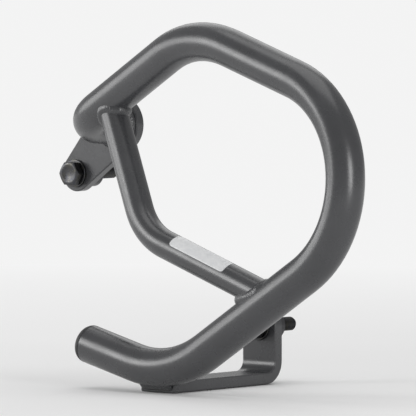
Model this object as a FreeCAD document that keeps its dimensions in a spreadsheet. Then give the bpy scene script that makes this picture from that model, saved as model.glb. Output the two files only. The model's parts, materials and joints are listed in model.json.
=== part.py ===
"""Right-hand crash bar of a motorcycle: a bent hoop tube, a coped brace, two mounting plates and their bolts.

The frame: +X points forward on the motorcycle, +Y inward (to its left) and +Z up. The origin lies on the
axis of the upper mounting bolt, in the face where the upper spacer meets the motorcycle.
"""
import FreeCAD
import Part
import math
import os
import Sketcher
from FreeCAD import Placement, Rotation, Vector

SIZES = {
    # Hoop tube: its section, how far it stands out, and the corners and bend radii of its centre line.
    "hoop_diameter": 27.0,
    "hoop_wall": 2.5,
    "stand_off": 92.0,
    "rear_leg": 40.0,
    "rear_bend_forward": 37.0,
    "rear_bend_rise": 36.0,
    "rear_bend_radius": 34.0,
    "top_bend_forward": 169.0,
    "top_bend_rise": 106.0,
    "top_bend_radius": 88.0,
    "front_bend_forward": 418.0,
    "front_bend_flare": 30.0,
    "front_bend_rise": 27.0,
    "front_bend_radius": 74.0,
    "lower_bend_forward": 160.0,
    "lower_bend_flare": 14.0,
    "lower_bend_drop": 134.0,
    "lower_bend_radius": 92.0,
    "tail_back": 80.0,
    "tail_inset": 8.0,
    "tail_rise": 19.0,
    # Brace tube: its section, its own bend, and how far along the hoop's runs its two ends stand.
    "brace_diameter": 20.0,
    "brace_wall": 2.0,
    "brace_bend_forward": 128.0,
    "brace_bend_flare": 4.0,
    "brace_bend_drop": 36.0,
    "brace_bend_radius": 55.0,
    "brace_head_distance": 42.0,
    "brace_foot_distance": 110.0,
    # Plain marking strip on the brace, turned up from its outer side.
    "strip_length": 56.0,
    "strip_start": 11.5,
    "strip_thickness": 0.4,
    "strip_angle": 70.0,
    "strip_tilt": 58.0,
    # Upper lug: a flat plate that carries the rear end of the hoop. Both plates have broken edges.
    "plate_edge_break": 0.8,
    "lug_thickness": 8.0,
    "lug_weld_land": 0.7,
    "lug_bolt_radius": 13.0,
    # Lower strap: a flat bar cut to seat against the lower bend, turned up into a tab at its inner end.
    "strap_width": 30.0,
    "strap_thickness": 8.0,
    "strap_seat": 4.0,
    "strap_end_inset": 1.0,
    "strap_end_land": 0.7,
    "strap_inner_radius": 8.0,
    "tab_rise": 32.0,
    "tab_end_flat": 1.0,
    "lower_face_y": 28.0,
    # Weld beads.
    "weld_leg": 5.0,
    "weld_toe": 1.5,
    "weld_crest": 0.5,
    "weld_end_inset": 1.2,
    "cope_weld_leg": 3.3,
    "cope_weld_land": 0.8,
    # Bolts, washers and spacers.
    "bolt_diameter": 10.0,
    "bolt_clearance": 0.5,
    "thread_depth": 1.0,
    "bolt_head_flats": 16.0,
    "bolt_head_height": 6.4,
    "bolt_head_chamfer": 0.4,
    "bolt_tip_chamfer": 1.2,
    "washer_diameter": 20.0,
    "washer_thickness": 2.0,
    "spacer_diameter": 20.0,
    "spacer_chamfer": 0.6,
    "upper_spacer_length": 12.0,
    "lower_spacer_length": 10.0,
    "upper_bolt_reach": 23.0,
    "lower_bolt_reach": 20.0,
    # End plug: a domed head outside the tube and a ribbed shank inside it.
    "plug_head_height": 6.0,
    "plug_dome_radius": 5.0,
    "plug_core_diameter": 15.0,
    "plug_shank_length": 20.0,
    "plug_rib_thickness": 1.6,
    "plug_rib_pitch": 4.6,
    "plug_rib_count": 4,
    "plug_clearance": 0.15,
}

doc = FreeCAD.newDocument("crash_bar")
sheet = doc.addObject("Spreadsheet::Sheet", "sizes")
for row, (alias, number) in enumerate(SIZES.items(), 1):
    sheet.set(f"A{row}", alias)
    sheet.set(f"B{row}", str(number))
    sheet.setAlias(f"B{row}", alias)
doc.recompute()

X_AXIS = Vector(1, 0, 0)
Y_AXIS = Vector(0, 1, 0)
Z_AXIS = Vector(0, 0, 1)
INWARD = Rotation(X_AXIS, -90)
OUTWARD = Rotation(X_AXIS, 90)
TOUCH = 0.001
SMOOTH_ANGLE = math.radians(5)
VOLUME_TOLERANCE = 0.001
BOLT_HOLE = "sizes.bolt_diameter + sizes.bolt_clearance"


def size(alias):
    """A driving dimension, read from the sheet."""
    return float(sheet.get(alias))


def direction(start, end):
    """The unit vector from one point to another."""
    return (end - start).normalize()


class Route:
    """A tube's centre line: straight runs through named corners, joined by tangent arcs."""

    def __init__(self, corners):
        self.corners = corners
        self.points = list(corners.values())
        self.edges = []
        self.arcs = {}
        start = self.points[0]
        bends = list(corners)[1:-1]
        for before, name, after in zip(self.points, bends, self.points[2:]):
            point, radius = corners[name], size(name + "_radius")
            way_in = direction(before, point)
            way_out = direction(point, after)
            half_turn = way_in.getAngle(way_out) / 2
            tangent = radius * math.tan(half_turn)
            inward = (way_out - way_in).normalize()
            middle = point + inward * (radius / math.cos(half_turn) - radius)
            self.edges.append(Part.LineSegment(start, point - way_in * tangent).toShape())
            start = point + way_out * tangent
            self.arcs[name] = Part.Arc(point - way_in * tangent, middle, start).toShape()
            self.edges.append(self.arcs[name])
        self.edges.append(Part.LineSegment(start, self.points[-1]).toShape())

    def along(self, start, end, distance):
        """The point at a distance from one corner towards another."""
        return self.corners[start] + direction(self.corners[start], self.corners[end]) * distance

    def lowest(self, bend):
        """The lowest point of the circle that a bend lies on."""
        circle = self.arcs[bend].Curve
        downward = (circle.Axis * circle.Axis.z - Z_AXIS).normalize()
        return circle.Center + downward * circle.Radius

    def length(self):
        """The length of the centre line."""
        return sum(edge.Length for edge in self.edges)


def path_object(name, route):
    """The document's object for a centre line."""
    path = doc.addObject("Part::Feature", name)
    path.Shape = Part.Wire(route.edges)
    return path


def swept_rod(name, path, route, radius):
    """A round solid swept along a centre line."""
    section = doc.addObject("Part::Circle", name + "_section")
    section.setExpression("Radius", radius)
    heading = direction(route.points[0], route.points[1])
    section.Placement = Placement(route.points[0], Rotation(Z_AXIS, heading))
    rod = doc.addObject("Part::Sweep", name)
    rod.Sections = [section]
    rod.Spine = (path, [f"Edge{number + 1}" for number in range(len(route.edges))])
    rod.Solid = True
    rod.Frenet = False
    return rod


def cylinder(name, radius, height, start, heading):
    """A cylinder from a point along a heading."""
    rod = doc.addObject("Part::Cylinder", name)
    rod.setExpression("Radius", radius)
    rod.Height = height
    rod.Placement = Placement(start, Rotation(Z_AXIS, heading))
    return rod


def cut(name, base, tool):
    """One solid less another."""
    result = doc.addObject("Part::Cut", name)
    result.Base = base
    result.Tool = tool
    return result


def common(name, base, tool):
    """What two solids share."""
    result = doc.addObject("Part::Common", name)
    result.Base = base
    result.Tool = tool
    return result


def new_body(name):
    """An empty body."""
    return doc.addObject("PartDesign::Body", name)


def origin_plane(body, role):
    """One of a body's own origin planes or axes."""
    return next(feature for feature in body.Origin.OriginFeatures if feature.Role == role)


def sketch_on(body, name, role, offset=None):
    """A sketch on one of the body's origin planes, lifted off it by an expression."""
    sketch = body.newObject("Sketcher::SketchObject", name)
    sketch.AttachmentSupport = [(origin_plane(body, role), "")]
    sketch.MapMode = "FlatFace"
    if offset:
        sketch.setExpression("AttachmentOffset.Base.z", offset)
    return sketch


def bind(sketch, constraint, expression):
    """Adds a constraint and ties its value to the sheet."""
    number = sketch.addConstraint(constraint)
    sketch.setExpression(f"Constraints[{number}]", expression)


def evaluate(expression):
    """The value of an expression on the sheet's aliases."""
    return float(sheet.evalExpression(expression.replace("sizes.", "")))


def draw_circle(sketch, diameter, across="0", upward="0"):
    """A circle whose diameter and centre are bound to the sheet."""
    centre = Vector(evaluate(across), evaluate(upward), 0)
    circle = sketch.addGeometry(Part.Circle(centre, Z_AXIS, evaluate(diameter) / 2))
    bind(sketch, Sketcher.Constraint("Diameter", circle, evaluate(diameter)), diameter)
    bind(sketch, Sketcher.Constraint("DistanceX", -1, 1, circle, 3, centre.x), across)
    bind(sketch, Sketcher.Constraint("DistanceY", -1, 1, circle, 3, centre.y), upward)


def draw_polygon(sketch, corners):
    """A closed outline of straight lines, each corner bound to the sheet by two expressions."""
    places = [Vector(evaluate(across), evaluate(upward), 0) for across, upward in corners]
    lines = [sketch.addGeometry(Part.LineSegment(start, end))
             for start, end in zip(places, places[1:] + places[:1])]
    for line, following in zip(lines, lines[1:] + lines[:1]):
        sketch.addConstraint(Sketcher.Constraint("Coincident", line, 2, following, 1))
    for line, place, (across, upward) in zip(lines, places, corners):
        bind(sketch, Sketcher.Constraint("DistanceX", -1, 1, line, 1, place.x), across)
        bind(sketch, Sketcher.Constraint("DistanceY", -1, 1, line, 1, place.y), upward)


def pad(body, name, sketch, length, reversed_way=False, midplane=False):
    """A sketch given thickness."""
    feature = body.newObject("PartDesign::Pad", name)
    feature.Profile = sketch
    feature.setExpression("Length", length)
    feature.Reversed = reversed_way
    feature.Midplane = midplane
    doc.recompute()
    return feature


def pocket_through(body, name, sketch):
    """A sketch cut right through the body, both ways."""
    before = body.Shape.Volume
    feature = body.newObject("PartDesign::Pocket", name)
    feature.Profile = sketch
    feature.Type = "ThroughAll"
    feature.Midplane = True
    doc.recompute()
    if body.Shape.Volume >= before:
        raise RuntimeError(f"{name} cuts nothing")
    return feature


def revolve(body, name, sketch, groove=False):
    """A sketch turned about its own vertical axis, added to the body or cut from it."""
    before = body.Shape.Volume if groove else 0.0
    feature = body.newObject("PartDesign::Groove" if groove else "PartDesign::Revolution", name)
    feature.Profile = sketch
    feature.ReferenceAxis = (sketch, ["V_Axis"])
    feature.Angle = 360.0
    doc.recompute()
    if groove and body.Shape.Volume >= before:
        raise RuntimeError(f"{name} cuts nothing")
    return feature


def dress(body, kind, name, base, edges, radius):
    """A fillet or a chamfer on some of a feature's edges."""
    feature = body.newObject(f"PartDesign::{kind}", name)
    feature.Base = (base, edges)
    feature.setExpression("Radius" if kind == "Fillet" else "Size", radius)
    doc.recompute()
    return feature


def edges_where(feature, test):
    """The names of a feature's edges that pass a test."""
    return [f"Edge{number}" for number, edge in enumerate(feature.Shape.Edges, 1) if test(edge)]


def break_edges(body, name, feature):
    """A small chamfer on every sharp edge of a plate: where the two faces that meet don't run on smoothly."""
    def is_sharp(edge):
        point = edge.valueAt((edge.FirstParameter + edge.LastParameter) / 2)
        faces = feature.Shape.ancestorsOfType(edge, Part.Face)
        normals = [face.normalAt(*face.Surface.parameter(point)) for face in faces]
        return normals[0].getAngle(normals[1]) > SMOOTH_ANGLE

    return dress(body, "Chamfer", name, feature, edges_where(feature, is_sharp), "sizes.plate_edge_break")


# Centre lines of the two tubes.
upper_stack = size("upper_spacer_length") + size("lug_thickness")
stand_off = size("stand_off")
seat = Vector(size("rear_bend_forward"), -upper_stack, size("rear_bend_rise"))
rear_bend = seat - Y_AXIS * size("rear_leg")
top_bend = Vector(size("top_bend_forward"), -stand_off, size("top_bend_rise"))
front_bend = Vector(
    size("front_bend_forward"), -stand_off - size("front_bend_flare"), size("front_bend_rise"))
lower_bend = Vector(
    size("lower_bend_forward"), -stand_off - size("lower_bend_flare"), -size("lower_bend_drop"))
brace_bend = Vector(
    size("brace_bend_forward"), -stand_off - size("brace_bend_flare"), -size("brace_bend_drop"))
tail_end = lower_bend + Vector(-size("tail_back"), size("tail_inset"), size("tail_rise"))
hoop_route = Route({
    "seat": seat, "rear_bend": rear_bend, "top_bend": top_bend,
    "front_bend": front_bend, "lower_bend": lower_bend, "tail_end": tail_end})
brace_head = hoop_route.along("rear_bend", "top_bend", size("brace_head_distance"))
brace_foot = hoop_route.along("lower_bend", "front_bend", size("brace_foot_distance"))
brace_route = Route({"brace_head": brace_head, "brace_bend": brace_bend, "brace_foot": brace_foot})
low_point = hoop_route.lowest("lower_bend")
strap_base = Vector(low_point.x, 0, low_point.z - size("hoop_diameter") / 2 + size("strap_seat"))
lower_point = Vector(strap_base.x, size("lower_face_y"), strap_base.z + size("tab_rise"))


def make_hoop():
    """The hoop: one bent round tube from the upper lug to its tail. Gives its path and outer solid too."""
    path = path_object("hoop_path", hoop_route)
    outer = swept_rod("hoop_outer", path, hoop_route, "sizes.hoop_diameter / 2")
    bore = swept_rod("hoop_bore", path, hoop_route, "sizes.hoop_diameter / 2 - sizes.hoop_wall")
    return cut("hoop_tube", outer, bore), path, outer


def make_brace(hoop_outer):
    """The brace: a slimmer bent tube, coped at both ends to sit on the hoop."""
    path = path_object("brace_path", brace_route)
    outer = swept_rod("brace_outer", path, brace_route, "sizes.brace_diameter / 2")
    bore = swept_rod("brace_bore", path, brace_route, "sizes.brace_diameter / 2 - sizes.brace_wall")
    uncut = cut("brace_uncut", outer, bore)
    return cut("brace_tube", uncut, hoop_outer)


def make_cope_weld(name, joint, way, hoop_path, hoop_outer, hoop_skin):
    """A fillet bead round a coped end: what lies within a leg of both tubes, with a sloped face."""
    reach = size("hoop_diameter") + size("brace_diameter")
    core = cylinder(name + "_core", "sizes.brace_diameter / 2", reach, joint, way)
    skin = cylinder(name + "_skin", "sizes.brace_diameter / 2 + sizes.cope_weld_leg", reach, joint, way)
    block = common(name + "_block", skin, hoop_skin)
    ring = cut(name + "_ring", cut(name + "_saddle", block, hoop_outer), core)
    doc.recompute()
    from_hoop = size("hoop_diameter") / 2 + size("cope_weld_leg")
    from_brace = size("brace_diameter") / 2 + size("cope_weld_leg")

    def outside_corner(edge):
        point = edge.valueAt((edge.FirstParameter + edge.LastParameter) / 2)
        hoop_gap = Part.Vertex(point).distToShape(hoop_path.Shape)[0] - from_hoop
        brace_gap = point.distanceToLine(joint, way) - from_brace
        return max(abs(hoop_gap), abs(brace_gap)) < 10 * TOUCH

    bead = doc.addObject("Part::Chamfer", name)
    bead.Base = ring
    face = size("cope_weld_leg") - size("cope_weld_land")
    corners = [number for number, edge in enumerate(ring.Shape.Edges, 1) if outside_corner(edge)]
    bead.Edges = [(number, face, face) for number in corners]
    return bead


def make_strip():
    """A thin plain strip stuck on the brace's lower run, on its outer and upper side."""
    body = new_body("brace_strip")
    sketch = sketch_on(body, "strip_profile", "XZ_Plane")
    inner, outer = "sizes.brace_diameter / 2", "sizes.brace_diameter / 2 + sizes.strip_thickness"
    draw_polygon(sketch, [
        (inner, "0"), (outer, "0"), (outer, "sizes.strip_length"), (inner, "sizes.strip_length")])
    turn = body.newObject("PartDesign::Revolution", "strip_turn")
    turn.Profile = sketch
    turn.ReferenceAxis = (sketch, ["V_Axis"])
    turn.setExpression("Angle", "sizes.strip_angle")
    turn.Midplane = True
    bend = brace_route.arcs["brace_bend"]
    run_start = bend.valueAt(bend.LastParameter)
    heading = direction(brace_bend, brace_foot)
    outward = (heading * heading.y - Y_AXIS).normalize()
    tilt = math.radians(size("strip_tilt"))
    middle = outward * math.cos(tilt) + outward.cross(heading) * math.sin(tilt)
    body.Placement = Placement(
        run_start + heading * size("strip_start"), Rotation(middle, Vector(), heading, "ZXY"))
    return body


def make_lug():
    """The upper lug: a flat plate from the hoop's rear end to the upper bolt, rounded about both."""
    body = new_body("upper_lug")
    sketch = sketch_on(body, "lug_outline", "XY_Plane")
    seat_radius = "sizes.hoop_diameter / 2 + sizes.weld_leg + sizes.lug_weld_land + sizes.plate_edge_break"
    rounds = [
        (Vector(), size("lug_bolt_radius")),
        (Vector(seat.x, seat.z, 0), evaluate(seat_radius)),
    ]
    span = rounds[1][0]
    slope = math.atan2(span.y, span.x)
    lean = math.acos((rounds[0][1] - rounds[1][1]) / span.Length)
    normals = [Vector(math.cos(slope + turn), math.sin(slope + turn), 0) for turn in (lean, -lean)]
    bolt_arc = sketch.addGeometry(Part.ArcOfCircle(
        Part.Circle(rounds[0][0], Z_AXIS, rounds[0][1]), slope + lean, slope - lean + 2 * math.pi))
    seat_arc = sketch.addGeometry(Part.ArcOfCircle(
        Part.Circle(rounds[1][0], Z_AXIS, rounds[1][1]), slope - lean, slope + lean))
    sides = [sketch.addGeometry(Part.LineSegment(*[centre + normal * radius for centre, radius in rounds]))
             for normal in normals]
    for arc, arc_end, side, side_end in (
            (bolt_arc, 1, sides[0], 1), (bolt_arc, 2, sides[1], 1),
            (seat_arc, 2, sides[0], 2), (seat_arc, 1, sides[1], 2)):
        sketch.addConstraint(Sketcher.Constraint("Tangent", arc, arc_end, side, side_end))
    sketch.addConstraint(Sketcher.Constraint("Coincident", bolt_arc, 3, -1, 1))
    bind(sketch, Sketcher.Constraint("Radius", bolt_arc, rounds[0][1]), "sizes.lug_bolt_radius")
    bind(sketch, Sketcher.Constraint("Radius", seat_arc, rounds[1][1]), seat_radius)
    bind(sketch, Sketcher.Constraint("DistanceX", -1, 1, seat_arc, 3, span.x), "sizes.rear_bend_forward")
    bind(sketch, Sketcher.Constraint("DistanceY", -1, 1, seat_arc, 3, span.y), "sizes.rear_bend_rise")
    plate = pad(body, "lug_plate", sketch, "sizes.lug_thickness")
    break_edges(body, "lug_edge_break", plate)
    hole = sketch_on(body, "lug_hole_outline", "XY_Plane")
    draw_circle(hole, BOLT_HOLE)
    pocket_through(body, "lug_hole", hole)
    body.Placement = Placement(Vector(0, -size("upper_spacer_length"), 0), OUTWARD)
    return body


def is_level(edge):
    """Whether an edge lies in a plane across its body's own Z axis."""
    return edge.BoundBox.ZLength < TOUCH


def make_lug_weld():
    """The bead all round the hoop's rear end, on the outer face of the upper lug."""
    body = new_body("weld_upper_lug")
    sketch = sketch_on(body, "lug_bead_profile", "XZ_Plane")
    tube_radius, leg = size("hoop_diameter") / 2, size("weld_leg")
    root = Vector(tube_radius, 0, 0)
    up_tube = sketch.addGeometry(Part.LineSegment(root + Vector(0, leg, 0), root))
    on_plate = sketch.addGeometry(Part.LineSegment(root, root + Vector(leg, 0, 0)))
    crown = sketch.addGeometry(Part.ArcOfCircle(Part.Circle(root, Z_AXIS, leg), 0, math.pi / 2))
    sketch.addConstraint(Sketcher.Constraint("Coincident", up_tube, 2, on_plate, 1))
    sketch.addConstraint(Sketcher.Constraint("Coincident", on_plate, 2, crown, 1))
    sketch.addConstraint(Sketcher.Constraint("Coincident", crown, 2, up_tube, 1))
    sketch.addConstraint(Sketcher.Constraint("Coincident", crown, 3, on_plate, 1))
    sketch.addConstraint(Sketcher.Constraint("Vertical", up_tube))
    sketch.addConstraint(Sketcher.Constraint("Horizontal", on_plate))
    sketch.addConstraint(Sketcher.Constraint("PointOnObject", on_plate, 1, -1))
    bind(sketch, Sketcher.Constraint("Radius", crown, leg), "sizes.weld_leg")
    bind(sketch, Sketcher.Constraint("DistanceX", -1, 1, on_plate, 1, tube_radius), "sizes.hoop_diameter / 2")
    revolve(body, "lug_bead", sketch)
    body.Placement = Placement(seat, OUTWARD)
    return body


def make_strap(hoop_outer):
    """The lower strap: a flat bar seated against the lower bend, its inner end turned up into a tab."""
    body = new_body("strap_uncut")
    sketch = sketch_on(body, "strap_profile", "YZ_Plane")
    outer_end = f"{low_point.y} + sizes.strap_end_inset"
    tab_inside = "sizes.lower_face_y - sizes.lower_spacer_length"
    tab_outside = tab_inside + " - sizes.strap_thickness"
    tab_top = "sizes.tab_rise + sizes.strap_width / 2"
    draw_polygon(sketch, [
        (outer_end, "0"), (tab_outside, "0"), (tab_outside, tab_top),
        (tab_inside, tab_top), (tab_inside, "-sizes.strap_thickness"), (outer_end, "-sizes.strap_thickness"),
    ])
    bar = pad(body, "strap_bar", sketch, "sizes.strap_width", midplane=True)

    def lies_along_x(edge, across, upward):
        box = edge.BoundBox
        return box.XLength > TOUCH and math.hypot(box.YMin - across, box.ZMin - upward) < TOUCH

    inside = edges_where(bar, lambda edge: lies_along_x(edge, evaluate(tab_outside), 0))
    bend = dress(body, "Fillet", "strap_inside_bend", bar, inside, "sizes.strap_inner_radius")
    thickness = size("strap_thickness")
    outside = edges_where(bend, lambda edge: lies_along_x(edge, evaluate(tab_inside), -thickness))
    bend = dress(body, "Fillet", "strap_outside_bend", bend, outside,
                 "sizes.strap_inner_radius + sizes.strap_thickness")
    tab_corners = edges_where(bend, lambda edge: abs(edge.BoundBox.ZMin - evaluate(tab_top)) < TOUCH
                              and edge.BoundBox.XLength < TOUCH)
    end_radius = "(sizes.strap_width - sizes.tab_end_flat) / 2"
    tab_end = dress(body, "Fillet", "tab_end", bend, tab_corners, end_radius)
    break_edges(body, "strap_edge_break", tab_end)
    hole = sketch_on(body, "tab_hole_outline", "XZ_Plane")
    draw_circle(hole, BOLT_HOLE, upward="sizes.tab_rise")
    pocket_through(body, "tab_hole", hole)
    body.Placement = Placement(strap_base, Rotation())
    return cut("lower_strap", body, hoop_outer)


def make_strap_weld(hoop_outer):
    """Two beads between hoop and strap: one on the strap's upper face and one along its outer end."""
    beads = []
    bead_length = "sizes.strap_width - 2 * (sizes.weld_end_inset + sizes.plate_edge_break)"
    crown_height = "(sizes.strap_seat + sizes.weld_leg)"
    crown = f"sqrt({crown_height} * (sizes.hoop_diameter - {crown_height}))"
    end = "sizes.strap_end_inset"
    end_foot = "sizes.plate_edge_break + sizes.strap_end_land - sizes.strap_thickness"
    profiles = {
        "inner_bead": [
            ("0", "0"), (f"{crown} + sizes.weld_toe", "0"),
            (f"{crown} + sizes.weld_crest", "sizes.weld_leg"), ("0", "sizes.weld_leg")],
        "outer_bead": [
            (end, "0"), (end, end_foot), (f"{end} - sizes.weld_toe", end_foot),
            (f"{end} - sizes.weld_leg", "-sizes.strap_seat"), (f"{end} - sizes.weld_leg", "0")],
    }
    for name, profile in profiles.items():
        body = new_body(name)
        sketch = sketch_on(body, name + "_profile", "YZ_Plane")
        draw_polygon(sketch, [(f"{low_point.y} + {offset}", upward) for offset, upward in profile])
        pad(body, name + "_pad", sketch, bead_length, midplane=True)
        body.Placement = Placement(strap_base, Rotation())
        beads.append(body)
    both = doc.addObject("Part::Fuse", "strap_beads")
    both.Base, both.Tool = beads
    return cut("weld_lower_strap", both, hoop_outer)


def make_bolt(name, grip, reach, place):
    """A hexagon-head bolt: a plain grip, then a threaded end, up its Z axis from the head's underside."""
    body = new_body(name)
    flats, height = "sizes.bolt_head_flats", "sizes.bolt_head_height"
    hexagon = sketch_on(body, name + "_hexagon", "XY_Plane")
    corners = [(math.cos(math.radians(60 * step)), math.sin(math.radians(60 * step))) for step in range(6)]
    draw_polygon(hexagon, [(f"{flats} / sqrt(3) * {across}", f"{flats} / sqrt(3) * {upward}")
                           for across, upward in corners])
    pad(body, name + "_head", hexagon, height, reversed_way=True)
    corner_cut = sketch_on(body, name + "_corner_cut", "XZ_Plane")
    face_radius = f"{flats} / 2 - sizes.bolt_head_chamfer"
    outside = f"{flats} / sqrt(3) + sizes.bolt_head_chamfer"
    slope = math.tan(math.radians(30))
    draw_polygon(corner_cut, [
        (face_radius, f"-{height}"), (outside, f"-{height}"),
        (outside, f"-{height} + ({outside} - ({face_radius})) * {slope}")])
    revolve(body, name + "_head_chamfer", corner_cut, groove=True)
    grip_circle = sketch_on(body, name + "_grip_circle", "XY_Plane")
    draw_circle(grip_circle, "sizes.bolt_diameter")
    pad(body, name + "_grip", grip_circle, grip)
    thread_circle = sketch_on(body, name + "_thread_circle", "XY_Plane", grip)
    draw_circle(thread_circle, "sizes.bolt_diameter - sizes.thread_depth")
    thread = pad(body, name + "_thread", thread_circle, reach)
    tip = edges_where(thread, lambda edge: is_level(edge) and edge.BoundBox.ZMin > evaluate(grip) + TOUCH)
    dress(body, "Chamfer", name + "_tip", thread, tip, "sizes.bolt_tip_chamfer")
    body.Placement = place
    return body


def make_ring(name, diameter, length, place, chamfer=None):
    """A washer or spacer: a round ring with a bolt hole, its outer edges broken where a chamfer is given."""
    body = new_body(name)
    sketch = sketch_on(body, name + "_outline", "XY_Plane")
    draw_circle(sketch, diameter)
    draw_circle(sketch, BOLT_HOLE)
    ring = pad(body, name + "_ring", sketch, length)
    if chamfer:
        hole = evaluate(BOLT_HOLE) + TOUCH
        rims = edges_where(ring, lambda edge: is_level(edge) and edge.BoundBox.XLength > hole)
        dress(body, "Chamfer", name + "_edge", ring, rims, chamfer)
    body.Placement = place
    return body


def make_fastening(side, plate, reach, axis_point):
    """The bolt, washer and spacer of one mounting, on an axis along +Y through the mating face."""
    spacer_length = f"sizes.{side}_spacer_length"
    grip = f"{spacer_length} + {plate} + sizes.washer_thickness"
    spacer_place = Placement(axis_point - Y_AXIS * evaluate(spacer_length), INWARD)
    washer_place = Placement(axis_point - Y_AXIS * evaluate(grip), INWARD)
    return [
        make_ring(side + "_spacer", "sizes.spacer_diameter", spacer_length, spacer_place,
                  "sizes.spacer_chamfer"),
        make_ring(side + "_washer", "sizes.washer_diameter", "sizes.washer_thickness", washer_place),
        make_bolt(side + "_bolt", grip, reach, washer_place),
    ]


def make_plug():
    """The end plug: a domed head on the tail of the hoop and a ribbed shank in its bore."""
    body = new_body("end_plug")
    profile = sketch_on(body, "plug_profile", "XZ_Plane")
    core, rim, top = "sizes.plug_core_diameter / 2", "sizes.hoop_diameter / 2", "sizes.plug_head_height"
    draw_polygon(profile, [
        ("0", "-sizes.plug_shank_length"), (core, "-sizes.plug_shank_length"), (core, "0"),
        (rim, "0"), (rim, top), ("0", top)])
    turned = revolve(body, "plug_turned", profile)
    dome_edge = edges_where(turned, lambda edge: is_level(edge)
                            and abs(edge.BoundBox.ZMin - evaluate(top)) < TOUCH)
    dress(body, "Fillet", "plug_dome", turned, dome_edge, "sizes.plug_dome_radius")
    rib_outline = sketch_on(body, "rib_outline", "XY_Plane", "-sizes.plug_rib_pitch")
    draw_circle(rib_outline, "sizes.hoop_diameter - 2 * sizes.hoop_wall - 2 * sizes.plug_clearance")
    rib = pad(body, "plug_rib", rib_outline, "sizes.plug_rib_thickness")
    ribs = body.newObject("PartDesign::LinearPattern", "plug_ribs")
    ribs.Originals = [rib]
    ribs.Direction = (origin_plane(body, "Z_Axis"), [""])
    ribs.Reversed = True
    ribs.setExpression("Length", "sizes.plug_rib_pitch * (sizes.plug_rib_count - 1)")
    ribs.setExpression("Occurrences", "sizes.plug_rib_count")
    body.Tip = ribs
    body.Placement = Placement(tail_end, Rotation(Z_AXIS, direction(lower_bend, tail_end)))
    return body


def tube_volume(outside, wall, length):
    """The volume of a round tube, whatever its bends."""
    return math.pi * wall * (outside - wall) * length


def check_sound():
    """Every object has to be sound, and the hoop's volume has to be its section times its length."""
    for feature in doc.Objects:
        if "Invalid" in feature.State or "Error" in feature.State:
            raise RuntimeError(f"{feature.Label} failed: {feature.State}")
    for piece in sub_parts:
        if piece.Shape.isNull() or not piece.Shape.isValid() or not piece.Shape.Solids:
            raise RuntimeError(f"{piece.Label} has no sound solid")
    expected = tube_volume(size("hoop_diameter"), size("hoop_wall"), hoop_route.length())
    if abs(hoop_tube.Shape.Volume / expected - 1) > VOLUME_TOLERANCE:
        raise RuntimeError("the hoop's volume isn't its section times its length")


hoop_tube, hoop_path, hoop_outer = make_hoop()
hoop_skin = swept_rod("hoop_skin", hoop_path, hoop_route, "sizes.hoop_diameter / 2 + sizes.cope_weld_leg")
sub_parts = [
    hoop_tube,
    make_brace(hoop_outer),
    make_cope_weld("weld_brace_head", brace_head, direction(brace_head, brace_bend),
                   hoop_path, hoop_outer, hoop_skin),
    make_cope_weld("weld_brace_foot", brace_foot, direction(brace_foot, brace_bend),
                   hoop_path, hoop_outer, hoop_skin),
    make_strip(),
    make_lug(),
    make_lug_weld(),
    make_strap(hoop_outer),
    make_strap_weld(hoop_outer),
    make_plug(),
    *make_fastening("upper", "sizes.lug_thickness", "sizes.upper_bolt_reach", Vector()),
    *make_fastening("lower", "sizes.strap_thickness", "sizes.lower_bolt_reach", lower_point),
]
doc.recompute()

check_sound()
os.makedirs("parts", exist_ok=True)
for piece in sub_parts:
    piece.Shape.exportStep(f"parts/{piece.Label}.step")
    print(piece.Label, len(piece.Shape.Solids), round(piece.Shape.Volume, 1))
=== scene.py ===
"""Looks of a motorcycle's right-hand crash bar: finishes, weld beads, fasteners, floor, light and camera.

Everything is in metres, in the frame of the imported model: +X forward, +Y inward, +Z up.
"""
import json
import math

import bmesh
import bpy
import numpy as np
from mathutils import Matrix, Vector
from mathutils.bvhtree import BVHTree


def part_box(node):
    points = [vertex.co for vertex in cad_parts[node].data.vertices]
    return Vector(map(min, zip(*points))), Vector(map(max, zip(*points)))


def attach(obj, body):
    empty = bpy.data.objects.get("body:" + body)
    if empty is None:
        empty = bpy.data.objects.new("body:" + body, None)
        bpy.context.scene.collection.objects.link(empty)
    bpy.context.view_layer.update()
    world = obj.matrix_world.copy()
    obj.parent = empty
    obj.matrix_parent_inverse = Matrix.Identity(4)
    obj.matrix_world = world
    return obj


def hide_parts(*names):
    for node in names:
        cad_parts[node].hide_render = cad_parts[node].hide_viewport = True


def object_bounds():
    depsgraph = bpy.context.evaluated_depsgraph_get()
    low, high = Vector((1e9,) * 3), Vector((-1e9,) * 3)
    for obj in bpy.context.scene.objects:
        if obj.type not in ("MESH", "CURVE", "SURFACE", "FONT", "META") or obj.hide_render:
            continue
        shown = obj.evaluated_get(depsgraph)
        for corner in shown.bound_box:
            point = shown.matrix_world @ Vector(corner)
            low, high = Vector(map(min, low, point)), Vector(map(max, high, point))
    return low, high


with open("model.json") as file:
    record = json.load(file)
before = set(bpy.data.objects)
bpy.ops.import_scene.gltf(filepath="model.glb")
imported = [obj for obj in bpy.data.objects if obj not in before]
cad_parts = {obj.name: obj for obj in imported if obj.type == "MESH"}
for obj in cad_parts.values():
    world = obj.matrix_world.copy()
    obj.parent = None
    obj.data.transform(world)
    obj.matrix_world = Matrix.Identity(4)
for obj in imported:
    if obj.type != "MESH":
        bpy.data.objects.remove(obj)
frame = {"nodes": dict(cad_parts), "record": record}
cad_low, cad_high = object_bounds()
nodes = frame["nodes"]

MM = 0.001
TURN = 2 * math.pi
SHARP_ANGLE = math.radians(32)

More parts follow.
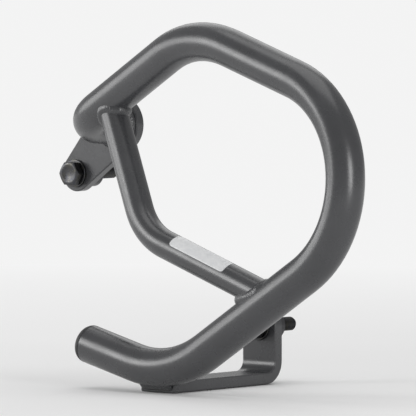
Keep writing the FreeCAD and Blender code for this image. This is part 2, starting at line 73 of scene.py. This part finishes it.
# Sizes and places that the solids have too.
REAR_BEND = np.array((37.0, -60.0, 36.0)) * MM
TOP_BEND = np.array((169.0, -92.0, 106.0)) * MM
FRONT_BEND = np.array((418.0, -122.0, 27.0)) * MM
LOWER_BEND = np.array((160.0, -106.0, -134.0)) * MM
TAIL_END = np.array((80.0, -98.0, -115.0)) * MM
BRACE_BEND = np.array((128.0, -96.0, -36.0)) * MM
BRACE_BEND_RADIUS = 55 * MM
BRACE_HEAD_DISTANCE = 42 * MM
BRACE_FOOT_DISTANCE = 110 * MM
HOOP_RADIUS = 13.5 * MM
BRACE_RADIUS = 10 * MM
LUG_FACE = np.array((37.0, -20.0, 36.0)) * MM
STRAP_THICKNESS = 8 * MM
STRAP_END_INSET = 1 * MM
BOLT_HOLE_RADIUS = 5.25 * MM

X_AXIS = np.array((1.0, 0.0, 0.0))
Y_AXIS = np.array((0.0, 1.0, 0.0))
Z_AXIS = np.array((0.0, 0.0, 1.0))


def unit(vector):
    """A vector, or each row of an array, at length one."""
    return vector / np.linalg.norm(vector, axis=-1, keepdims=True)


def across(axis, hint):
    """Two unit vectors across an axis, the first as near to the hint as can be."""
    first = unit(hint - axis * (hint @ axis))
    return first, np.cross(axis, first)


BRACE_HEAD = REAR_BEND + unit(TOP_BEND - REAR_BEND) * BRACE_HEAD_DISTANCE
BRACE_FOOT = LOWER_BEND + unit(FRONT_BEND - LOWER_BEND) * BRACE_FOOT_DISTANCE


# Finishes.

class Finish:
    """A node material whose detail comes from the surface's own coordinates."""

    def __init__(self, name):
        self.material = bpy.data.materials.new(name)
        self.material.use_nodes = True
        self.tree = self.material.node_tree
        self.shader = self.tree.nodes["Principled BSDF"]
        self.place = self.tree.nodes.new("ShaderNodeTexCoord").outputs["Object"]

    def node(self, kind, **inputs):
        """A new node with its input sockets set by name."""
        made = self.tree.nodes.new(kind)
        for name, value in inputs.items():
            made.inputs[name.replace("_", " ")].default_value = value
        return made

    def link(self, output, target):
        self.tree.links.new(output, target)

    def noise(self, cell, detail=2.0, roughness=0.5, stretch=None):
        """Noise whose lumps are about one cell across, in metres."""
        made = self.node("ShaderNodeTexNoise", Scale=1 / cell, Detail=detail, Roughness=roughness)
        place = self.place
        if stretch is not None:
            mapping = self.node("ShaderNodeMapping", Scale=stretch)
            self.link(place, mapping.inputs["Vector"])
            place = mapping.outputs["Vector"]
        self.link(place, made.inputs["Vector"])
        return made.outputs["Fac"]

    def ramp(self, value, stops):
        """Colours along a value."""
        made = self.node("ShaderNodeValToRGB")
        elements = made.color_ramp.elements
        while len(elements) < len(stops):
            elements.new(0.5)
        for element, (position, colour) in zip(elements, stops):
            element.position = position
            element.color = (*colour, 1.0)
        self.link(value, made.inputs["Fac"])
        return made.outputs["Color"]

    def spread(self, value, low, high, start=0.3, end=0.7):
        """A number between two limits, following a value."""
        made = self.node("ShaderNodeMapRange")
        for socket, number in (("From Min", start), ("From Max", end), ("To Min", low), ("To Max", high)):
            made.inputs[socket].default_value = number
        self.link(value, made.inputs["Value"])
        return made.outputs["Result"]

    def relief(self, layers):
        """Bump from several heights, each with its own depth in metres."""
        normal = None
        for height, depth in layers:
            bump = self.node("ShaderNodeBump", Strength=1.0, Distance=depth)
            self.link(height, bump.inputs["Height"])
            if normal is not None:
                self.link(normal, bump.inputs["Normal"])
            normal = bump.outputs["Normal"]
        self.link(normal, self.shader.inputs["Normal"])

    def set(self, **inputs):
        """Plain values on the shader's own sockets, and outputs linked to them."""
        for name, value in inputs.items():
            socket = self.shader.inputs[name.replace("_", " ")]
            if isinstance(value, bpy.types.NodeSocket):
                self.link(value, socket)
            else:
                socket.default_value = value


def powder_coat():
    """Satin black powder coat: orange peel, a fine grain and slow changes of gloss."""
    finish = Finish("powder_coat")
    tone = finish.noise(0.035, detail=3.0)
    colour = finish.ramp(tone, [(0.3, (0.042, 0.043, 0.046)), (0.7, (0.053, 0.054, 0.058))])
    gloss = finish.spread(finish.noise(0.012, detail=4.0), 0.25, 0.31)
    finish.set(Base_Color=colour, Roughness=gloss, Specular_IOR_Level=0.7)
    finish.relief([(finish.noise(0.0024), 0.000014), (finish.noise(0.0007), 0.000004)])
    return finish.material


def pale_film():
    """Plain pale grey film under a clear top layer."""
    finish = Finish("pale_film")
    tone = finish.noise(0.006, detail=3.0)
    colour = finish.ramp(tone, [(0.3, (0.68, 0.69, 0.70)), (0.7, (0.75, 0.755, 0.76))])
    gloss = finish.spread(finish.noise(0.003), 0.44, 0.54)
    finish.set(Base_Color=colour, Roughness=gloss, Coat_Weight=0.2, Coat_Roughness=0.34)
    finish.relief([(finish.noise(0.0016), 0.00004), (finish.noise(0.0004), 0.000008)])
    return finish.material


def black_plastic():
    """Moulded black plastic with a spark-eroded grain."""
    finish = Finish("black_plastic")
    tone = finish.noise(0.004, detail=3.0)
    colour = finish.ramp(tone, [(0.3, (0.020, 0.020, 0.021)), (0.7, (0.030, 0.030, 0.032))])
    gloss = finish.spread(finish.noise(0.002), 0.50, 0.62)
    finish.set(Base_Color=colour, Roughness=gloss)
    finish.relief([(finish.noise(0.00055, detail=3.0), 0.00006)])
    return finish.material


def black_zinc():
    """Black zinc plate: a faint blue and olive tint, and patches of duller metal."""
    finish = Finish("black_zinc")
    tone = finish.noise(0.003, detail=4.0)
    colour = finish.ramp(tone, [
        (0.3, (0.066, 0.068, 0.078)), (0.5, (0.080, 0.080, 0.082)), (0.7, (0.092, 0.089, 0.078))])
    gloss = finish.spread(finish.noise(0.0012, detail=4.0), 0.26, 0.44)
    finish.set(Base_Color=colour, Roughness=gloss, Metallic=1.0)
    finish.relief([(finish.noise(0.0005, detail=3.0), 0.000012)])
    return finish.material


def anodised_aluminium():
    """Turned aluminium under black anodising: fine rings round the bolt's axis."""
    finish = Finish("anodised_aluminium")
    rings = finish.noise(0.0003, detail=2.0, stretch=(0.02, 1.0, 0.02))
    colour = finish.ramp(rings, [(0.3, (0.036, 0.036, 0.040)), (0.7, (0.060, 0.060, 0.064))])
    gloss = finish.spread(rings, 0.26, 0.42)
    finish.set(Base_Color=colour, Roughness=gloss, Metallic=0.4)
    finish.relief([(rings, 0.00002)])
    return finish.material


FINISHES = {make.__name__: make() for make in (
    powder_coat, pale_film, black_plastic, black_zinc, anodised_aluminium)}
for row in frame["record"]["subparts"]:
    node = nodes[row["node"]]
    node.data.materials.clear()
    node.data.materials.append(FINISHES[row["material_slot"]])


# Mesh builders.

def make_piece(name, points, faces, slot, stands_for):
    """A mesh that rides with the bar in the place of a node."""
    mesh = bpy.data.meshes.new(name)
    mesh.from_pydata([tuple(point) for point in points], [], faces)
    work = bmesh.new()
    work.from_mesh(mesh)
    bmesh.ops.recalc_face_normals(work, faces=work.faces)
    work.to_mesh(mesh)
    work.free()
    mesh.shade_smooth()
    mesh.set_sharp_from_angle(angle=SHARP_ANGLE)
    mesh.materials.append(FINISHES[slot])
    piece = bpy.data.objects.new(name, mesh)
    bpy.context.scene.collection.objects.link(piece)
    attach(piece, "root")
    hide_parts(stands_for)
    return piece


def loft(rings, start=0, loop=False):
    """Points and faces of a skin through rings of equally many points: a loop, or capped at both ends."""
    count = len(rings[0])
    points = [point for ring in rings for point in ring]
    faces = []
    pairs = list(zip(range(len(rings)), range(1, len(rings))))
    if loop:
        pairs.append((len(rings) - 1, 0))
    for one, other in pairs:
        for step in range(count):
            following = (step + 1) % count
            faces.append((start + one * count + step, start + one * count + following,
                          start + other * count + following, start + other * count + step))
    if not loop:
        faces.append(tuple(start + step for step in range(count)))
        faces.append(tuple(start + (len(rings) - 1) * count + step for step in range(count)))
    return points, faces


def turned(profile, origin, axis, hint, segments=96):
    """Rings of a turned shape, from pairs of radius and height along the axis."""
    first, second = across(axis, hint)
    angles = np.arange(segments) * TURN / segments
    spokes = np.outer(np.cos(angles), first) + np.outer(np.sin(angles), second)
    return [origin + axis * height + spokes * radius for radius, height in profile]


def rounded(radius_in, radius_out, low, high, edge, steps=4):
    """A ring's closed section with rounded edges, as pairs of radius and height."""
    section = []
    for radius, height, start in (
            (radius_out - edge, high - edge, 0), (radius_in + edge, high - edge, 1),
            (radius_in + edge, low + edge, 2), (radius_out - edge, low + edge, 3)):
        for step in range(steps + 1):
            angle = (start + step / steps) * TURN / 4
            section.append((radius + edge * math.cos(angle), height + edge * math.sin(angle)))
    return section


# Weld beads.

BEAD_ROWS = 11
TOE_DEPTH = 0.12 * MM
PITCH_SCATTER = 0.16
RIPPLE_SCATTER = 0.25
RIPPLE_BOW = 0.55
SCALLOP_MEAN = 0.6
SCALLOP_FALL = 0.7
END_PITCHES = 1.6
END_HEIGHT = 0.08
END_TOE = 0.55
SADDLE_STEPS = 421
SADDLE_LEG = 1.25
SADDLE_LEG_LIMITS = 0.72, 1.15
SADDLE_ROOT_DEPTH = 0.5 * MM
SADDLE_CROWN = 0.75 * MM
LUG_STEPS = 521
LUG_LEG = 4.8 * MM
LUG_RISE = 4.6 * MM
LUG_ROOT_DEPTH = 0.4 * MM
LUG_CROWN = 0.9 * MM
LUG_PITCH = 2.4 * MM
STRAP_STEPS = 150
STRAP_BEAD_HALF = 13.2
STRAP_ROOT_DEPTH = 0.3 * MM
STRAP_CROWN = 0.7 * MM


def bead_rings(first, second, root, crown, seed, closed, pitch=2.1 * MM, ripple=0.30 * MM):
    """Sections of a weld bead between two toe lines: a bulged face in overlapping ripples, and the root."""
    middle = (first + second) / 2
    distance = np.concatenate(([0], np.cumsum(np.linalg.norm(np.diff(middle, axis=0), axis=1))))
    draws = np.random.default_rng(seed)
    count = max(3, round(distance[-1] / pitch))
    edges = np.concatenate(([0], np.cumsum(1 + PITCH_SCATTER * draws.uniform(-1, 1, count))))
    running = np.interp(distance, edges * distance[-1] / edges[-1], np.arange(count + 1))
    heights = ripple * (1 + RIPPLE_SCATTER * draws.uniform(-1, 1, count))
    outward = unit(middle - root)
    along = np.linspace(0, 1, BEAD_ROWS)[:, None]
    bulge = np.sin(math.pi * along)
    rings = []
    for column in range(len(first) - 1 if closed else len(first)):
        share = 1.0
        if not closed:
            near_end = min(1.0, min(distance[column], distance[-1] - distance[column]) / (END_PITCHES * pitch))
            share = END_HEIGHT + (1 - END_HEIGHT) * math.sqrt(1 - (1 - near_end) ** 2)
        low = root[column]
        toe = END_TOE + (1 - END_TOE) * share
        one = low + (first[column] - low) * toe
        two = low + (second[column] - low) * toe
        phase = running[column] + RIPPLE_BOW * bulge
        scallop = np.sqrt(1 - (1 - phase % 1) ** 2) - SCALLOP_MEAN
        ripples = heights[phase.astype(int) % count] * scallop * bulge ** SCALLOP_FALL
        height = share * (crown * bulge + ripples)
        face = one + (two - one) * along + outward[column] * height
        rings.append(np.vstack((face, low)))
    return rings


def onto_cylinder(points, centre, axis, radius):
    """Points moved straight to the wall of a cylinder."""
    offset = points - centre
    lengthwise = np.outer(offset @ axis, axis)
    return centre + lengthwise + unit(offset - lengthwise) * radius


def make_cope_bead(name, joint, hoop_end, seed, stands_for, leg=4.2 * MM):
    """The bead round one coped end of the brace, along the saddle where the two tubes meet."""
    hoop_axis = unit(hoop_end - joint)
    brace_axis = unit(BRACE_BEND - joint)
    side, other = across(brace_axis, hoop_axis)
    angles = np.linspace(0, TURN, SADDLE_STEPS)
    spokes = np.outer(np.cos(angles), side) + np.outer(np.sin(angles), other)
    lean = brace_axis - hoop_axis * (brace_axis @ hoop_axis)
    reach = (spokes - np.outer(spokes @ hoop_axis, hoop_axis)) * BRACE_RADIUS
    half = reach @ lean
    square = lean @ lean
    lift = (-half + np.sqrt(half ** 2 - square * ((reach ** 2).sum(1) - HOOP_RADIUS ** 2))) / square
    root = joint + spokes * BRACE_RADIUS + np.outer(lift, brace_axis)
    hoop_normal = unit(root - joint - np.outer((root - joint) @ hoop_axis, hoop_axis))
    seam = unit(np.gradient(root, axis=0))
    seam[0] = seam[-1] = unit(root[1] - root[-2])
    on_hoop = np.cross(hoop_normal, seam)
    on_hoop *= np.sign((on_hoop * spokes).sum(1))[:, None]
    on_brace = np.cross(spokes, seam)
    on_brace *= np.sign(on_brace @ brace_axis)[:, None]
    opening = np.arccos(np.clip((on_hoop * on_brace).sum(1), -1, 1))
    legs = (leg * np.clip(SADDLE_LEG / (2 * np.sin(opening / 2)), *SADDLE_LEG_LIMITS))[:, None]
    first = onto_cylinder(root + on_hoop * legs, joint, hoop_axis, HOOP_RADIUS - TOE_DEPTH)
    second = onto_cylinder(root + on_brace * legs, joint, brace_axis, BRACE_RADIUS - TOE_DEPTH)
    low = root - unit(on_hoop + on_brace) * SADDLE_ROOT_DEPTH
    points, faces = loft(bead_rings(first, second, low, SADDLE_CROWN, seed, closed=True), loop=True)
    return make_piece(name, points, faces, "powder_coat", stands_for)


def make_lug_bead():
    """The bead round the hoop's rear end, on the lug's outer face."""
    angles = np.linspace(0, TURN, LUG_STEPS)
    spokes = np.outer(np.cos(angles), X_AXIS) + np.outer(np.sin(angles), Z_AXIS)
    first = LUG_FACE + spokes * (HOOP_RADIUS + LUG_LEG) + Y_AXIS * TOE_DEPTH
    second = LUG_FACE + spokes * (HOOP_RADIUS - TOE_DEPTH) - Y_AXIS * LUG_RISE
    low = LUG_FACE + spokes * (HOOP_RADIUS - LUG_ROOT_DEPTH) + Y_AXIS * LUG_ROOT_DEPTH
    rings = bead_rings(first, second, low, LUG_CROWN, 11, closed=True, pitch=LUG_PITCH)
    points, faces = loft(rings, loop=True)
    return make_piece("weld_upper_lug_bead", points, faces, "powder_coat", "weld_upper_lug")


def node_surface(name):
    """A node's surface, for finding where a line meets it."""
    mesh = nodes[name].data
    corners = [vertex.co for vertex in mesh.vertices]
    return BVHTree.FromPolygons(corners, [face.vertices for face in mesh.polygons])


def make_strap_beads():
    """The two beads between hoop and strap: along the strap's upper face, and under the hoop at its end."""
    hoop = node_surface("hoop_tube")
    low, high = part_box("lower_strap")
    top = low.z + STRAP_THICKNESS
    axis_y = low.y - STRAP_END_INSET
    places = (low.x + high.x) / 2 + np.linspace(-STRAP_BEAD_HALF, STRAP_BEAD_HALF, STRAP_STEPS) * MM

    def lines(offset, height, toe):
        """A line along the strap's width, in mm inward of its end and above its upper face."""
        return np.array([(place, axis_y + offset * MM, top + height * MM) for place in places]) + toe

    def meets_hoop(offset, height, way):
        """Where such a line meets the hoop, going one way."""
        return np.array([hoop.ray_cast(Vector(start), Vector(way))[0] for start in lines(offset, height, 0)])

    sections = [
        (lines(14.2, 0, -Z_AXIS * TOE_DEPTH), meets_hoop(40, 5.4, -Y_AXIS) - Y_AXIS * TOE_DEPTH,
         lines(10.3, 0.5, 0), 21),
        (lines(1, -6.6, Y_AXIS * TOE_DEPTH), meets_hoop(-4.3, -30, Z_AXIS) + Z_AXIS * TOE_DEPTH,
         meets_hoop(0.7, -30, Z_AXIS) - Z_AXIS * STRAP_ROOT_DEPTH, 31)]
    points, faces = [], []
    for on_strap, on_hoop, root, seed in sections:
        rings = bead_rings(on_strap, on_hoop, root, STRAP_CROWN, seed, closed=False)
        more_points, more_faces = loft(rings, start=len(points))
        points += more_points
        faces += more_faces
    return make_piece("weld_lower_strap_beads", points, faces, "powder_coat", "weld_lower_strap")


make_cope_bead("weld_brace_head_bead", BRACE_HEAD, TOP_BEND, 3, "weld_brace_head")
make_cope_bead("weld_brace_foot_bead", BRACE_FOOT, FRONT_BEND, 5, "weld_brace_foot")
make_lug_bead()
make_strap_beads()


# Fasteners.

HEAD_FLATS = 16 * MM
HEAD_HEIGHT = 6.4 * MM
SHANK_RADIUS = 4.95 * MM
CORE_RADIUS = 4.1 * MM
CREST_RADIUS = 4.93 * MM
THREAD_PITCH = 1.5 * MM
TIP_LENGTH = 1.2 * MM
BOLT_SEGMENTS = 72
HEAD_BEVEL = 0.4 * MM
HEAD_BEVEL_ANGLE = math.radians(30)
DISH_DEPTH = 0.35 * MM
WASHER_FACE_HEIGHT = 0.5 * MM
THREAD_STEPS = 40
THREAD_FADE = 0.5
THREAD_FAINTEST = 0.05
THREAD_SECTION = 0.64, 0.10
THREAD_SINK = 0.05 * MM
RUNOUT = 1.2 * MM
SHANK_FILLET = 0.4 * MM
TIP_BEVEL = 0.8 * MM
RING_RADIUS = 10 * MM
WASHER_EDGE = 0.35 * MM


def node_axis(name):
    """The middle of a node's box across Y, and its two ends along Y."""
    low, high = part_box(name)
    return np.array(((low.x + high.x) / 2, 0.0, (low.z + high.z) / 2)), low.y, high.y


def head_rings(spokes, origin):
    """The rings of a forged hexagon head, from its dished face to the washer face under it."""
    steps = np.arange(BOLT_SEGMENTS) * TURN / BOLT_SEGMENTS
    hexagon = HEAD_FLATS / 2 / np.cos((steps % (TURN / 6)) - TURN / 12)
    face_radius = HEAD_FLATS / 2 - HEAD_BEVEL
    slope = np.tan(HEAD_BEVEL_ANGLE)
    levels = [
        (0.4 * MM, -HEAD_HEIGHT + DISH_DEPTH), (4.9 * MM, -HEAD_HEIGHT + DISH_DEPTH),
        (5.5 * MM, -HEAD_HEIGHT), (face_radius, -HEAD_HEIGHT),
        (hexagon, -HEAD_HEIGHT + (hexagon - face_radius) * slope),
        (hexagon, -0.75 * MM), (hexagon - 0.25 * MM, -WASHER_FACE_HEIGHT),
        (7.3 * MM, -WASHER_FACE_HEIGHT), (7.2 * MM, 0.0)]
    return [origin + spokes * np.reshape(radius, (-1, 1)) + np.outer(height * np.ones(BOLT_SEGMENTS), Y_AXIS)
            for radius, height in levels]


def thread_rings(first, second, origin, start, end):
    """Sections of one thread ridge that winds round the core, fading out at both ends."""
    turns = (end - start) / THREAD_PITCH
    rings = []
    foot = CORE_RADIUS - THREAD_SINK
    wide, narrow = THREAD_SECTION
    for step in range(int(turns * THREAD_STEPS) + 1):
        angle = step * TURN / THREAD_STEPS
        wound = angle / TURN
        fade = min(1.0, wound / THREAD_FADE, (turns - wound) / THREAD_FADE)
        crest = CORE_RADIUS + (CREST_RADIUS - CORE_RADIUS) * max(THREAD_FAINTEST, fade)
        spoke = first * math.cos(angle) + second * math.sin(angle)
        height = start + wound * THREAD_PITCH
        section = ((foot, -wide), (crest, -narrow), (crest, narrow), (foot, wide))
        rings.append([origin + spoke * radius + Y_AXIS * (height + offset * MM)
                      for radius, offset in section])
    return rings


def make_bolt(side):
    """A hexagon bolt along +Y: a forged head, a plain grip and a cut thread past the mating face."""
    centre, start, tip = node_axis(side + "_bolt")
    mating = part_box(side + "_spacer")[1].y
    origin = centre + Y_AXIS * (start + HEAD_HEIGHT)
    grip = mating - origin[1]
    length = tip - origin[1]
    first, second = across(Y_AXIS, X_AXIS)
    angles = np.arange(BOLT_SEGMENTS) * TURN / BOLT_SEGMENTS
    spokes = np.outer(np.cos(angles), first) + np.outer(np.sin(angles), second)
    shank = [
        (SHANK_RADIUS + SHANK_FILLET, 0.0), (SHANK_RADIUS, SHANK_FILLET), (SHANK_RADIUS, grip - 0.3 * MM),
        (CORE_RADIUS, grip + 0.5 * MM), (CORE_RADIUS, length - TIP_BEVEL), (CORE_RADIUS - TIP_BEVEL, length)]
    rings = head_rings(spokes, origin)
    rings += [origin + spokes * radius + Y_AXIS * height for radius, height in shank]
    points, faces = loft(rings)
    ridge = thread_rings(first, second, origin, grip + RUNOUT, length - TIP_LENGTH)
    more_points, more_faces = loft(ridge, start=len(points))
    return make_piece(side + "_hex_bolt", points + more_points, faces + more_faces,
                      "black_zinc", side + "_bolt")


def make_washer(side):
    """A stamped washer with rolled edges."""
    centre, low, high = node_axis(side + "_washer")
    section = rounded(BOLT_HOLE_RADIUS, RING_RADIUS, low, high, WASHER_EDGE)
    points, faces = loft(turned(section, centre, Y_AXIS, X_AXIS), loop=True)
    return make_piece(side + "_flat_washer", points, faces, "black_zinc", side + "_washer")


def make_spacer(side):
    """A turned spacer with chamfers inside and out."""
    centre, low, high = node_axis(side + "_spacer")
    outer, bevel, lead = RING_RADIUS, 0.6 * MM, 0.4 * MM
    section = [
        (outer, low + bevel), (outer, high - bevel), (outer - bevel, high),
        (BOLT_HOLE_RADIUS + lead, high), (BOLT_HOLE_RADIUS, high - lead),
        (BOLT_HOLE_RADIUS, low + lead), (BOLT_HOLE_RADIUS + lead, low), (outer - bevel, low)]
    points, faces = loft(turned(section, centre, Y_AXIS, X_AXIS), loop=True)
    return make_piece(side + "_turned_spacer", points, faces, "anodised_aluminium", side + "_spacer")


for mounting in ("upper", "lower"):
    make_bolt(mounting)
    make_washer(mounting)
    make_spacer(mounting)


# End plug and marking strip.

PLUG_CORE, FIN_RADIUS, FIN_PITCH, FIN_COUNT = 7.5, 10.85, 4.6, 4
FILM_STEPS = 33
FILM_EDGE = 0.12 * MM
FILM_SINK = 0.05 * MM
FILM_END = 0.98


def make_plug():
    """The moulded plug in the tail: finned shank, a rim on the tube's end, a dome and a gate mark."""
    profile = [(0.5, -20.0), (7.1, -20.0), (PLUG_CORE, -19.6)]
    for number in range(FIN_COUNT, 0, -1):
        low = -FIN_PITCH * number
        profile += [(PLUG_CORE, low), (FIN_RADIUS, low + 0.5), (FIN_RADIUS, low + 1.0), (PLUG_CORE, low + 1.6)]
    profile += [(PLUG_CORE, 0.0), (12.9, 0.0), (13.3, 0.35), (13.5, 0.75), (13.5, 1.0)]
    profile += [(8.5 + 5 * math.cos(turn), 1 + 4.8 * math.sin(turn))
                for turn in np.linspace(0, TURN / 4, 9)[1:]]
    profile += [(5.5, 5.92), (2.0, 5.98), (1.7, 5.95), (1.4, 5.6), (0.5, 5.6)]
    axis = unit(TAIL_END - LOWER_BEND)
    rings = turned([(radius * MM, height * MM) for radius, height in profile], TAIL_END, axis, Z_AXIS)
    points, faces = loft(rings)
    return make_piece("end_plug_moulding", points, faces, "black_plastic", "end_plug")


def make_film():
    """A plain strip of film with rounded corners, on the outer and upper side of the brace."""
    length, start, thickness, corner = 56 * MM, 11.5 * MM, 0.38 * MM, 2.5 * MM
    angle, tilt = math.radians(70), math.radians(58)
    way_in, way_out = unit(BRACE_BEND - BRACE_HEAD), unit(BRACE_FOOT - BRACE_BEND)
    tangent = BRACE_BEND_RADIUS * math.tan(math.acos(way_in @ way_out) / 2)
    origin = BRACE_BEND + way_out * (tangent + start)
    out, down = across(way_out, -Y_AXIS)
    out, up = out * math.cos(tilt) - down * math.sin(tilt), -out * math.sin(tilt) - down * math.cos(tilt)
    ends = corner * (1 - np.cos(np.linspace(0, TURN / 4, 9)))
    places = np.concatenate((ends, np.linspace(corner, length - corner, 16)[1:-1], length - ends[::-1]))
    rings = []
    for place in places:
        inset = max(0.0, corner - min(place, length - place))
        half = BRACE_RADIUS * angle / 2 - corner + math.sqrt(corner ** 2 - inset ** 2)
        turns = np.linspace(-half, half, FILM_STEPS) / BRACE_RADIUS
        radii = np.full(FILM_STEPS, BRACE_RADIUS + thickness)
        if inset > FILM_END * corner:
            radii -= FILM_EDGE
        radii[0] = radii[-1] = BRACE_RADIUS + thickness - FILM_EDGE
        turns = np.concatenate((turns, turns[::-1]))
        radii = np.concatenate((radii, np.full(FILM_STEPS, BRACE_RADIUS - FILM_SINK)))[:, None]
        spokes = np.outer(np.cos(turns), out) + np.outer(np.sin(turns), up)
        rings.append(origin + way_out * place + spokes * radii)
    points, faces = loft(rings)
    return make_piece("brace_strip_film", points, faces, "pale_film", "brace_strip")


make_plug()
make_film()


# Floor, light and camera.

FLOOR_GAP = 0.0005
FLOOR_REACH = 40.0
FLOOR_FADE = 0.2, 1.3
FLOOR_LEVEL = 0.90
AZIMUTH, ELEVATION, DISTANCE = 39.0, 3.0, 5.0
FRAME_SHARE = 0.86
CLIP_END = 200.0
WORLD_LEVEL = 0.39

# Each soft box: its two ends as headings in degrees, its distance and breadth in metres, and its radiance.
LAMPS = {
    "overhead": ((AZIMUTH - 90, 66), (AZIMUTH + 90, 66), 2.0, 1.6, 1.3),
    "key": ((AZIMUTH - 79, 10), (AZIMUTH - 127, 8), 1.9, 0.56, 2.9),
    "key_core": ((AZIMUTH - 83, 6), (AZIMUTH - 83, 28), 1.8, 0.56, 4.5),
    "strip": ((AZIMUTH + 30, -2), (AZIMUTH + 30, 22), 1.9, 0.6, 6.6),
    "rear": ((AZIMUTH + 155, 35), (AZIMUTH + 205, 35), 2.0, 1.2, 1.2),
}


def heading(azimuth, elevation):
    """The way from the bar to a place round it; azimuth 0 is its outer side and 90 its front."""
    turn, lift = math.radians(azimuth), math.radians(elevation)
    return np.array((math.sin(turn) * math.cos(lift), -math.cos(turn) * math.cos(lift), math.sin(lift)))


def make_floor():
    """A plain pale floor under the bar, which keeps one level of brightness far off."""
    mesh = bpy.data.meshes.new("floor")
    level = cad_low.z - FLOOR_GAP
    corners = [(x * FLOOR_REACH, y * FLOOR_REACH, level) for x, y in ((-1, -1), (1, -1), (1, 1), (-1, 1))]
    mesh.from_pydata(corners, [], [(0, 1, 2, 3)])
    finish = Finish("floor")
    tone = finish.noise(0.4, detail=2.0)
    colour = finish.ramp(tone, [(0.3, (0.86, 0.86, 0.86)), (0.7, (0.88, 0.88, 0.88))])
    finish.set(Base_Color=colour, Roughness=0.9, Specular_IOR_Level=0.0)
    distance = finish.node("ShaderNodeVectorMath")
    distance.operation = "LENGTH"
    finish.link(finish.place, distance.inputs[0])
    far = finish.spread(distance.outputs["Value"], 0.0, 1.0, *FLOOR_FADE)
    rays = finish.node("ShaderNodeLightPath")
    seen = rays.outputs["Is Camera Ray"]
    for kind in ("Is Glossy Ray", "Is Transmission Ray"):
        either = finish.node("ShaderNodeMath")
        either.operation = "MAXIMUM"
        finish.link(seen, either.inputs[0])
        finish.link(rays.outputs[kind], either.inputs[1])
        seen = either.outputs["Value"]
    share = finish.node("ShaderNodeMath")
    share.operation = "MULTIPLY"
    finish.link(far, share.inputs[0])
    finish.link(seen, share.inputs[1])
    glow = finish.node("ShaderNodeEmission", Strength=FLOOR_LEVEL)
    mixed = finish.node("ShaderNodeMixShader")
    finish.link(share.outputs["Value"], mixed.inputs["Fac"])
    finish.link(finish.shader.outputs["BSDF"], mixed.inputs[1])
    finish.link(glow.outputs["Emission"], mixed.inputs[2])
    finish.link(mixed.outputs["Shader"], finish.tree.nodes["Material Output"].inputs["Surface"])
    mesh.materials.append(finish.material)
    floor = bpy.data.objects.new("floor", mesh)
    bpy.context.scene.collection.objects.link(floor)


def make_lamp(name, start, end, distance, breadth, radiance):
    """A soft box that faces the bar, its long middle line running from one heading to another."""
    middle = np.array((cad_low + cad_high) / 2)
    ends = [middle + heading(*place) * distance for place in (start, end)]
    centre = (ends[0] + ends[1]) / 2
    along = unit(ends[1] - ends[0])
    away, side = across(along, centre - middle)
    lamp = bpy.data.lights.new(name, "AREA")
    lamp.shape = "RECTANGLE"
    lamp.size, lamp.size_y = np.linalg.norm(ends[1] - ends[0]), breadth
    lamp.energy = radiance * lamp.size * lamp.size_y * math.pi
    box = bpy.data.objects.new(name, lamp)
    box.matrix_world = Matrix.Translation(centre) @ Matrix((along, -side, away)).transposed().to_4x4()
    box.visible_camera = False
    bpy.context.scene.collection.objects.link(box)


def make_world(level):
    """Even light from all round."""
    world = bpy.data.worlds.new("studio")
    bpy.context.scene.world = world
    world.use_nodes = True
    background = world.node_tree.nodes["Background"]
    background.inputs["Color"].default_value = (1.0, 1.0, 1.0, 1.0)
    background.inputs["Strength"].default_value = level


def make_camera():
    """A long lens at the photograph's viewing angle, framing the bar."""
    back = heading(AZIMUTH, ELEVATION)
    right = unit(np.cross(Z_AXIS, back))
    up = np.cross(back, right)
    points = np.array([vertex.co for node in nodes.values() for vertex in node.data.vertices])
    flat = np.column_stack((points @ right, points @ up))
    middle = (flat.min(axis=0) + flat.max(axis=0)) / 2
    extent = np.ptp(flat, axis=0).max()
    lens = bpy.data.cameras.new("camera")
    lens.lens = lens.sensor_width * DISTANCE / (extent / FRAME_SHARE)
    lens.clip_end = CLIP_END
    camera = bpy.data.objects.new("camera", lens)
    camera.location = right * middle[0] + up * middle[1] + back * DISTANCE
    camera.rotation_mode = "QUATERNION"
    camera.rotation_quaternion = Vector(-back).to_track_quat("-Z", "Y")
    bpy.context.scene.collection.objects.link(camera)
    bpy.context.scene.camera = camera


make_floor()
make_world(WORLD_LEVEL)
for lamp_name, lamp_place in LAMPS.items():
    make_lamp(lamp_name, *lamp_place)
make_camera()
bpy.context.scene.view_settings.view_transform = "Standard"
